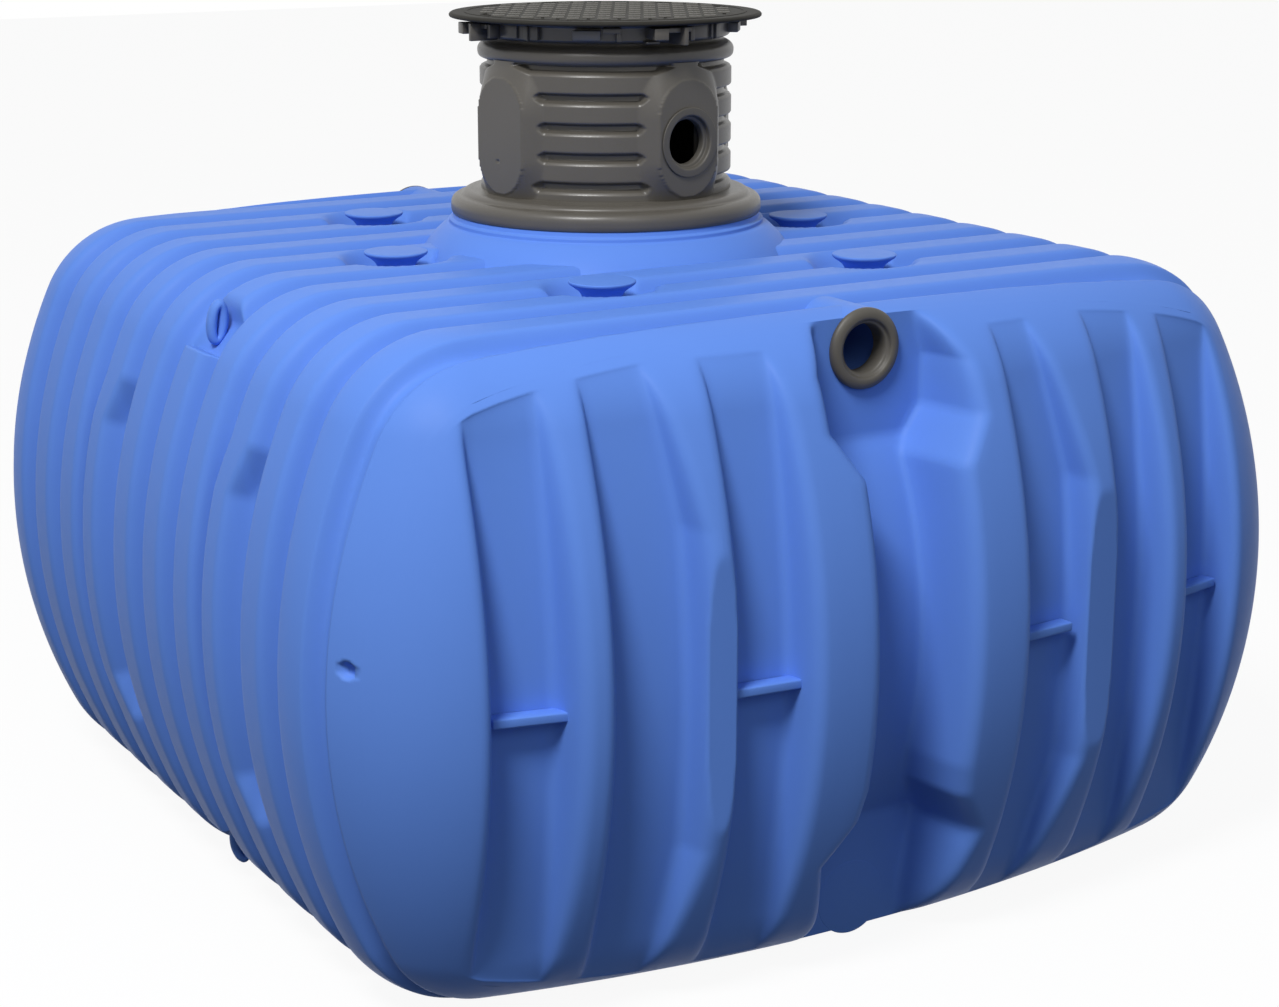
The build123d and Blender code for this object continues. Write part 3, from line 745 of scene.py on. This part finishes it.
# %% Turned pieces
def rounded(corners, steps=5):
    """Points of a closed profile whose corners (radius, height, rounding) are softened."""
    points = []
    for place, (x, y, rounding) in enumerate(corners):
        here = Vector((x, y))
        back = Vector(corners[place - 1][:2]) - here
        ahead = Vector(corners[(place + 1) % len(corners)][:2]) - here
        if rounding == 0:
            points.append(tuple(here))
            continue
        first = here + back.normalized() * min(rounding, back.length * 0.48)
        last = here + ahead.normalized() * min(rounding, ahead.length * 0.48)
        for step in range(steps + 1):
            t = step / steps
            points.append(tuple(first * (1 - t) ** 2 + here * (2 * t * (1 - t)) + last * t * t))
    return points


def turned(name, corners, steps=128):
    """A closed profile spun round the Z axis."""
    points = rounded(corners)
    bpy.ops.mesh.primitive_circle_add(vertices=len(points), radius=1)
    piece = bpy.context.object
    piece.name = piece.data.name = name
    for vertex, (radius, height) in zip(piece.data.vertices, points):
        vertex.co = (radius, 0, height)
    edit_all()
    bpy.ops.mesh.spin(steps=steps, angle=2 * math.pi, center=(0, 0, 0), axis=(0, 0, 1))
    bpy.ops.mesh.select_all(action="SELECT")
    bpy.ops.mesh.remove_doubles(threshold=0.00002)
    bpy.ops.mesh.delete_loose()
    bpy.ops.mesh.select_all(action="SELECT")
    bpy.ops.mesh.normals_make_consistent(inside=False)
    leave_edit()
    return piece


def moved_copies(piece, matrices):
    """The piece at each of the given places, joined into one object at the origin."""
    copies = []
    for matrix in matrices:
        copy = copy_of(piece)
        copy.data.transform(matrix)
        if matrix.determinant() < 0:
            copy.data.flip_normals()
        copies.append(copy)
    name = piece.name
    bpy.data.objects.remove(piece)
    return join_pieces(name, copies)


print("turning ready")

# %% [markdown]
# ## Pads, dome and lower bosses
# The pads are low mushrooms that stand in the roof's scoops. The dome rises from the roof in one soft
# step and carries the shaft on a short neck. A flat round boss lies in the pocket at the foot of
# each end, under the pipe entry.

# %% Pads, dome and lower bosses
pad = turned("roof_pad_set", (
    (0, 1.534, 0), (0.080, 1.534, 0.005), (0.079, 1.5265, 0.004), (0.052, 1.508, 0.012),
    (0.043, 1.485, 0.010), (0.043, 1.462, 0), (0, 1.462, 0),
), 48)
# the pads stand 6 mm nearer to the ends than the middles of their scoops
PAD_OUT = 1.0096
pads = moved_copies(pad, [Matrix.Translation((x, y * PAD_OUT, 0)) for x, y in PADS])
finish_piece(pads, blue, "tank_plastic", "tank", "roof_pads")

dome = turned("dome_shaped", (
    (0.506, 1.455, 0), (0.458, 1.528, 0.050), (0.420, 1.562, 0.014), (0.408, 1.566, 0.004),
    (0.408, 1.577, 0.003), (0.399, 1.580, 0.003), (0.397, 1.592, 0.002), (0.330, 1.592, 0),
    (0.330, 1.455, 0),
), 160)
finish_piece(dome, blue, "tank_plastic", "tank", "manhole_dome")

LOWER_BOSS_Z = 0.097
boss = turned("lower_boss_set", (
    (0, 0.900, 0), (0.092, 0.900, 0), (0.092, 1.1506, 0.002), (0, 1.1506, 0),
), 64)
bosses = moved_copies(boss, [
    Matrix.Translation((0, 0, LOWER_BOSS_Z)) @ Matrix.Rotation(side * math.pi / 2, 4, "X")
    for side in (1, -1)])
finish_piece(bosses, blue, "tank_plastic", "tank")

# %% [markdown]
# ## Lifting eyes
# The eyes are upright loops left standing in the notches of the shoulders. A torus is pulled into
# one long loop that leans with the shoulder. It is then turned for the other side, and both are
# mirrored below.

# %% Lifting eyes
TORUS_R = 0.25
LOOP_HALF_X, LOOP_HALF_Z, LOOP_HALF_Y, LOOP_ROUND = 0.014, 0.042, 0.017, 0.013
LOOP_X, LOOP_Z, LOOP_LEAN = -1.122, 1.421, 0.12
bpy.ops.mesh.primitive_torus_add(
    major_segments=40, minor_segments=16, major_radius=1, minor_radius=TORUS_R)
eye = bpy.context.object
eye.name = "lifting_eye_set"
for vertex in eye.data.vertices:
    x, y, z = vertex.co
    ring = math.atan2(y, x)
    out = (math.hypot(x, y) - 1) / TORUS_R
    foot = LOOP_X - (LOOP_HALF_X + LOOP_ROUND * out) * math.cos(ring)
    up = math.sin(ring) * (LOOP_HALF_Z + LOOP_ROUND * out)
    vertex.co = (foot + LOOP_LEAN * up, EYE_Y + z / TORUS_R * LOOP_HALF_Y, LOOP_Z + up)
turn = Matrix.Rotation(math.pi, 4, "Z")
below = Matrix.Translation((0, 0, HEIGHT)) @ Matrix.Scale(-1, 4, (0, 0, 1))
eyes = moved_copies(eye, [Matrix.Identity(4), turn, below, below @ turn])
bpy.ops.object.shade_smooth()
finish_piece(eyes, blue, "tank_plastic", "tank", "lifting_eyes")

# %% [markdown]
# ## Ribbed shaft
# The shaft is a tube with deep narrow grooves. Four flat bosses stand on it, each on a soft slope
# where the grooves run out with round ends, and a small dent marks one of them. Its radius is one
# sum of the angle and the height, so the whole tube can be one sheet.

# %% Shape of the ribbed shaft
SHAFT_R, FACE_R, BOSS_Z = 0.323, 0.337, 1.806
BOSS_R, BOSS_UPRIGHT, BOSS_TURN, BOSS_SLOPE = 0.095, 0.051, 8, 0.054
ROUND_FROM, ROUND_RUN, SLOPE_RISE = 0.036, 0.016, 0.88
SHAFT_GROOVE_Z, SHAFT_PITCH, BELOW_GROOVE = 1.6905, 0.0725, 0.036
GROOVE_PROFILE = (
    (-0.0190, 0.0000), (-0.0172, 0.0006), (-0.0158, 0.0032), (-0.0136, 0.0038), (-0.0120, 0.0052),
    (-0.0088, 0.0150), (-0.0062, 0.0190), (0.0060, 0.0200), (0.0084, 0.0180), (0.0104, 0.0080),
    (0.0115, 0.0022), (0.0140, 0.0004), (0.0170, 0.0),
)
GROOVE_AT, GROOVE_IN = zip(*GROOVE_PROFILE)
SLOPE_TOP_R, FACE_PER_DEGREE = 0.351, 0.00586
MARK_TURN, MARK_Z, MARK_R, MARK_DEPTH = 186.5, 1.742, 0.0045, 0.003


def boss_distance(degrees, z):
    """How far a point of the tube lies outside the nearest boss's flat, and the flat's own radius."""
    from_boss = (degrees - BOSS_TURN + 45) % 90 - 45
    across = FACE_R * np.tan(np.radians(from_boss))
    upright = np.maximum(np.abs(z - BOSS_Z) - BOSS_UPRIGHT, 0)
    return np.hypot(across, upright) - BOSS_R, FACE_R / np.cos(np.radians(from_boss))


def shaft_radius(degrees, z):
    """Radius of the shaft at an angle in degrees and a height."""
    outside, flat = boss_distance(degrees, z)
    slope = SLOPE_RISE * np.clip(1 - outside / BOSS_SLOPE, 0, 1) ** 1.15
    spread = np.maximum(np.clip((outside - ROUND_FROM) / ROUND_RUN, 0, 1), 1e-4) ** 0.5
    above = (z - SHAFT_GROOVE_Z + BELOW_GROOVE) % SHAFT_PITCH - BELOW_GROOVE
    drop = np.interp(above / spread, GROOVE_AT, GROOVE_IN) * spread
    slanted = SHAFT_R + (np.minimum(flat, SLOPE_TOP_R) - SHAFT_R) * slope - drop
    mark = (np.hypot((degrees - MARK_TURN) * FACE_PER_DEGREE, z - MARK_Z) < MARK_R) * MARK_DEPTH
    return np.where(outside < 0, flat, slanted) - mark


print("shaft radius at a boss", round(float(shaft_radius(BOSS_TURN, BOSS_Z)), 3))

# %% [markdown]
# ## Shaft and its inside
# A grid is rolled up to the tube by that sum and closed at its seam. A plain tube inside it makes the
# wall that is seen when the lid is off. A round hole for the pipe's seal goes through both.

# %% Shaft and its inside
TURNS, LEVELS = 480, 142
SHAFT_LOW, SHAFT_HIGH = 1.640, 1.992
SEAL_Z, SEAL_AWAY = 1.797, math.radians(278)
shaft, across, up = new_grid("shaft_shaped", LEVELS, TURNS + 1)
degrees = across * 360
z = SHAFT_LOW + up * (SHAFT_HIGH - SHAFT_LOW)
radius = shaft_radius(degrees % 360, z)
points = np.stack([radius * np.cos(np.radians(degrees)), radius * np.sin(np.radians(degrees)), z], axis=1)
shaft.data.vertices.foreach_set("co", points.ravel())
shaft.data.update()
edit_all()
bpy.ops.mesh.remove_doubles(threshold=0.0001)
bpy.ops.object.mode_set(mode="OBJECT")
bpy.ops.object.shade_smooth()


def seal_hole(piece, hole_r):
    """Cuts a round hole for the seal's bore through one side of the tube."""
    cut_away(piece, lambda x, y, z: (np.hypot(
        x * math.sin(SEAL_AWAY) - y * math.cos(SEAL_AWAY), z - SEAL_Z) < hole_r)
        & (x * math.cos(SEAL_AWAY) + y * math.sin(SEAL_AWAY) > 0))


seal_hole(shaft, 0.070)
finish_piece(shaft, shaft_plastic, "shaft_plastic", "tank", "access_shaft")
liner = turned("shaft_inside", (
    (0.299, 1.596, 0), (0.299, 2.040, 0), (0.294, 2.040, 0), (0.294, 1.596, 0),
), 96)
seal_hole(liner, 0.060)
finish_piece(liner, shaft_plastic, "shaft_plastic", "tank")

# %% [markdown]
# ## Foot and head of the shaft
# The foot is a thick rounded flange that clips over the dome's neck. At the head a rolled ring
# stiffens the tube under a narrower neck that carries the lid's frame.

# %% Foot and head of the shaft
foot = turned("shaft_foot_shaped", (
    (0.399, 1.592, 0.003), (0.402, 1.600, 0.006), (0.402, 1.626, 0.015), (0.388, 1.638, 0.010),
    (0.374, 1.639, 0.006), (0.370, 1.646, 0.006), (0.360, 1.652, 0.008), (0.340, 1.653, 0.008),
    (0.322, 1.656, 0.004), (0.300, 1.656, 0), (0.300, 1.592, 0),
), 180)
finish_piece(foot, shaft_plastic, "shaft_plastic", "tank", "shaft_base_flange")
head = turned("shaft_head_shaped", (
    (0.300, 1.984, 0.003), (0.312, 1.986, 0.006), (0.327, 1.992, 0.012), (0.329, 2.014, 0.016),
    (0.318, 2.027, 0.012), (0.302, 2.033, 0.006), (0.299, 2.044, 0), (0.292, 2.044, 0), (0.292, 1.984, 0),
), 180)
finish_piece(head, shaft_plastic, "shaft_plastic", "tank", "shaft_head_ring")

# %% [markdown]
# ## Seals
# The pipe seals are rubber rings pressed into the bores. Those at the ends are thick and proud,
# and the one at the shaft is a flat ring with a step down to the bore.

# %% Seals
END_SEAL = (
    (0.077, -0.038, 0), (0.0776, 0.0004, 0), (0.093, 0.0006, 0.002), (0.093, 0.010, 0.009),
    (0.082, 0.018, 0.008), (0.068, 0.018, 0.006), (0.064, 0.009, 0.006), (0.0575, 0.006, 0.004),
    (0.0555, -0.002, 0.002), (0.0555, -0.038, 0),
)
for node, side in (("inlet_seal", -1), ("overflow_seal", 1)):
    ring = turned(f"{node}_ring", END_SEAL, 96)
    stand = Matrix.Rotation(-side * math.pi / 2, 4, "X")
    ring.data.transform(Matrix.Translation((0, side * POCKET_Y, PIPE_Z)) @ stand)
    finish_piece(ring, seal_rubber, "seal_rubber", "tank", node)
ring = turned("shaft_seal_ring", (
    (0.074, -0.030, 0), (0.074, 0.0006, 0), (0.086, 0.0006, 0.001), (0.0868, 0.0052, 0.003),
    (0.068, 0.0052, 0.003), (0.065, 0.002, 0.003), (0.065, -0.010, 0.002),
    (0.0575, -0.011, 0.003), (0.0555, -0.014, 0.002), (0.0555, -0.030, 0),
), 96)
on_face = Matrix.Translation((FACE_R, 0, SEAL_Z)) @ Matrix.Rotation(math.pi / 2, 4, "Y")
ring.data.transform(Matrix.Rotation(SEAL_AWAY, 4, "Z") @ on_face)
finish_piece(ring, seal_rubber, "seal_rubber", "tank", "shaft_seal")

# %% [markdown]
# ## Frame of the lid
# Under the lid's rim runs a ring with a row of small blocks, hooks and ribs. Each is a block
# between two angles, two heights and two radii, with its edges bevelled, and the row repeats
# four times round the shaft.

# %% Frame of the lid
frame_ring = turned("lid_frame_shaped", (
    (0.300, 2.040, 0.003), (0.314, 2.043, 0.004), (0.3185, 2.048, 0.003), (0.3185, 2.080, 0.002),
    (0.334, 2.082, 0.002), (0.336, 2.087, 0.002), (0.292, 2.087, 0.002), (0.292, 2.040, 0.002),
), 144)
finish_piece(frame_ring, shaft_plastic, "shaft_plastic", "tank", "lid_frame")


def wedge(start, end, low, high, inner, outer, edge=0.0018):
    """A block between two angles in degrees, two heights and two radii, with bevelled edges."""
    bpy.ops.mesh.primitive_cube_add(size=2)
    block = bpy.context.object
    for vertex in block.data.vertices:
        x, y, z = vertex.co
        angle = math.radians(start if x < 0 else end)
        radius = inner if y < 0 else outer
        vertex.co = (radius * math.cos(angle), radius * math.sin(angle), low if z < 0 else high)
    bevel_all(edge)
    return block


def on_quarters(name, *blocks):
    """The blocks as one object, repeated on the four quarters of the shaft."""
    whole = join_pieces(name, blocks)
    return moved_copies(whole, [Matrix.Rotation(math.radians(turn), 4, "Z") for turn in QUARTERS])


QUARTERS = (-6, 84, 174, 264)
brackets = on_quarters(
    "lid_bracket_set",
    wedge(-6.0, -0.5, 2.054, 2.082, 0.314, 0.388),
    wedge(-0.5, 5.5, 2.070, 2.082, 0.314, 0.376),
    wedge(5.6, 7.4, 2.040, 2.083, 0.314, 0.390),
    wedge(7.4, 11.6, 2.070, 2.082, 0.314, 0.362),
    wedge(11.6, 13.6, 2.048, 2.082, 0.314, 0.360),
    wedge(14.0, 25.0, 2.050, 2.082, 0.314, 0.333),
    wedge(-7.0, -1.0, 2.042, 2.048, 0.306, 0.340),
)
finish_piece(brackets, shaft_plastic, "shaft_plastic", "tank", "lid_brackets")
latches = on_quarters(
    "lid_latch_set",
    wedge(-25.0, -17.5, 2.068, 2.082, 0.314, 0.346),
    wedge(-19.5, -17.5, 2.048, 2.070, 0.314, 0.344),
    wedge(28.5, 36.0, 2.048, 2.082, 0.314, 0.332),
    wedge(30.6, 31.6, 2.046, 2.082, 0.328, 0.338),
    wedge(18.0, 28.5, 2.050, 2.082, 0.314, 0.327),
)
finish_piece(latches, shaft_plastic, "shaft_plastic", "tank", "lid_latches")
clips = on_quarters("lid_clip_set", wedge(-37.5, -26.0, 2.052, 2.076, 0.314, 0.345, 0.003))
finish_piece(clips, clip_plastic, "shaft_plastic", "tank")

# %% [markdown]
# ## Ledges
# The ledges across the end grooves are thin shelves. Each is taken from the frame's own solid, made
# thinner about its middle height, and its edges are rounded with a Bevel modifier.

# %% Ledges
LEDGE_Z, LEDGE_THINNER = 0.752, 0.9
for name, node in (("front_ledge_set", "front_ledges"), ("rear_ledge_set", "rear_ledges")):
    ledges = copy_of(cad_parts[node])
    ledges.name = ledges.data.name = name
    select_only(ledges)
    edit_all()
    bpy.ops.mesh.remove_doubles(threshold=0.0001)
    bpy.ops.mesh.dissolve_limited(angle_limit=math.radians(1))
    bpy.ops.object.mode_set(mode="OBJECT")
    for vertex in ledges.data.vertices:
        vertex.co.z = LEDGE_Z + (vertex.co.z - LEDGE_Z) * LEDGE_THINNER
    bevel = ledges.modifiers.new("soft_edges", "BEVEL")
    bevel.width, bevel.segments = 0.004, 3
    bpy.ops.object.modifier_apply(modifier=bevel.name)
    bpy.ops.object.shade_smooth_by_angle(angle=math.radians(35))
    finish_piece(ledges, blue, "tank_plastic", "tank", node)

# %% [markdown]
# ## Plate of the lid
# The lid is a thin round plate with a rounded rim and a plain margin, set off by a fine raised line.
# The small mark near its left edge is a raised ring, and a second one lies across from it.

# %% Plate of the lid
plate = turned("lid_plate", (
    (0, 2.1008, 0), (0.385, 2.1008, 0.004), (0.3935, 2.1010, 0.004), (0.3998, 2.0955, 0.004),
    (0.3975, 2.0890, 0.003), (0.372, 2.0884, 0), (0.288, 2.0884, 0), (0.288, 2.0700, 0.003),
    (0, 2.0700, 0),
), 180)
line = turned("lid_line", (
    (0.352, 2.1006, 0), (0.352, 2.1022, 0.001), (0.361, 2.1022, 0.001), (0.361, 2.1006, 0),
), 160)
marks = []
for side in (178, 358):
    mark = turned("lid_mark", (
        (0.0085, 2.1004, 0), (0.0085, 2.1030, 0.0008), (0.0125, 2.1030, 0.0008), (0.0125, 2.1004, 0),
    ), 32)
    out = Matrix.Translation((0.338, 0, 0)) @ Matrix.Diagonal((0.8, 1.9, 1, 1))
    mark.data.transform(Matrix.Rotation(math.radians(side), 4, "Z") @ out)
    marks.append(mark)
print("marks on the lid", len(marks))

# %% [markdown]
# ## Bars of the lid
# Inside the margin short raised bars stand in rows, turned crosswise by turns, so that a foot doesn't
# slip. One bar is bevelled and copied. The bars of one direction are a piece of their own with a lighter
# colour, a painted highlight where light catches their edges, and those across them keep the lid's
# colour and are part of the lid.

# %% Bars of the lid
CELL, PATTERN_R, PATTERN_TURN, CROSS_LOWER = 0.0375, 0.327, -0.536, 0.0006
bpy.ops.mesh.primitive_cube_add(size=1)
bar = bpy.context.object
bar.data.transform(Matrix.Translation((0, 0, 2.1020)) @ Matrix.Diagonal((0.031, 0.0085, 0.0046, 1)))
bevel_all(0.0016)
places = [[], []]
for row in range(-9, 10):
    for column in range(-9, 10):
        x, y = column * CELL, row * CELL
        if math.hypot(x, y) < PATTERN_R:
            across = (row + column) % 2
            cell = Matrix.Translation((x, y, -CROSS_LOWER * across))
            places[across].append(
                Matrix.Rotation(PATTERN_TURN, 4, "Z") @ cell
                @ Matrix.Rotation(across * math.pi / 2, 4, "Z"))
cross_bars = moved_copies(copy_of(bar), places[1])
# These bars get the painted highlight: a lighter colour where light catches their edges.
bars = moved_copies(bar, places[0])
bars.name = bars.data.name = "lid_bars_painted_highlight"
print("bars on the lid", len(places[0]), "and across them", len(places[1]))
lid = join_pieces("lid_shaped", [plate, line, cross_bars] + marks)
finish_piece(lid, lid_plastic, "lid_plastic", "lid", "lid")
# The lighter colour of these bars is a painted highlight.
finish_piece(bars, bar_painted_highlight, "lid_plastic", "lid")

# %% [markdown]
# ## Materials on the frame's own pieces
# The pipe stubs inside the ends are already right, so they keep their frame mesh and only get the
# tank's plastic.

# %% Finish the frame's pieces
for name in ("inlet_spigot", "overflow_spigot"):
    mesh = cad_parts[name].data
    mesh.materials.clear()
    mesh.materials.append(blue)
    print("finished", name)

# %% [markdown]
# ## Floor and world
# The photograph shows the tank on plain white. A white ground keeps a faint shadow of it, and both
# ground and world look white to the camera and in reflections, while the light that they give the
# tank is weaker and a little blue. A mix of two shaders, picked by the kind of ray, does that.

# %% Floor and world
GROUND_GLOW, SKY_COLOUR, SKY_STRENGTH = 0.93, (0.94, 0.97, 1.0, 1), 0.29


def white_rays(tree):
    """1 for the camera's rays, and 1 for those that see plain white: the camera's, gloss and glass."""
    path = tree.nodes.new("ShaderNodeLightPath")
    camera_ray, gloss, glass = (
        Wire(tree, path.outputs[f"Is {kind} Ray"]) for kind in ("Camera", "Glossy", "Transmission"))
    return camera_ray, camera_ray.sum("MAXIMUM", gloss).sum("MAXIMUM", glass)


def pick_shader(share, first, second, output):
    """Shows the first shader where the share is 0 and the second where it is 1."""
    tree = share.tree
    mixer = tree.nodes.new("ShaderNodeMixShader")
    for place, socket in enumerate((share.socket, first.outputs[0], second.outputs[0])):
        tree.links.new(socket, mixer.inputs[place])
    tree.links.new(mixer.outputs[0], tree.nodes[output].inputs["Surface"])


bpy.ops.mesh.primitive_plane_add(size=60, location=(0, 0, -0.002))
ground = bpy.context.object
ground.name = "studio_ground"
material, shader, place = new_material("studio_white")
camera_ray, sees = white_rays(material.node_tree)
plug(camera_ray.mix((0.03, 0.03, 0.032, 1), (0.95, 0.95, 0.95, 1)), shader, "Base Color")
shader.inputs["Roughness"].default_value = 0.9
glow = material.node_tree.nodes.new("ShaderNodeEmission")
glow.inputs["Color"].default_value = (1, 1, 1, 1)
pick_shader(sees * GROUND_GLOW, shader, glow, "Material Output")
ground.data.materials.append(material)

world = bpy.data.worlds.new("studio")
bpy.context.scene.world = world
world.use_nodes = True
sky = world.node_tree.nodes["Background"]
sky.inputs["Color"].default_value = SKY_COLOUR
sky.inputs["Strength"].default_value = SKY_STRENGTH
white = world.node_tree.nodes.new("ShaderNodeBackground")
white.inputs["Color"].default_value = (1, 1, 1, 1)
camera_ray, sees = white_rays(world.node_tree)
pick_shader(sees, sky, white, "World Output")
print("sky strength", SKY_STRENGTH)

# %% [markdown]
# ## Lamps
# Two large round lamps light the tank: the key from high on the left, which shades the hoops and the
# grooves, and a weak fill from the front.

# %% Lamps
LAMP_AIM = Vector((0, 0, 0.8))


def lamp(name, place, size, power):
    """A round soft lamp that is aimed at the middle of the tank."""
    bpy.ops.object.light_add(type="AREA", location=place)
    light = bpy.context.object
    light.name = name
    light.rotation_euler = (LAMP_AIM - Vector(place)).to_track_quat("-Z", "Y").to_euler()
    light.data.shape, light.data.size, light.data.energy = "DISK", size, power


lamp("key", (-5.5, -4.2, 9.6), 3.0, 1020)
lamp("fill", (-1.5, -8.0, 6.0), 4.0, 60)
bpy.context.scene.view_settings.view_transform = "Standard"
print("lamps", 2)
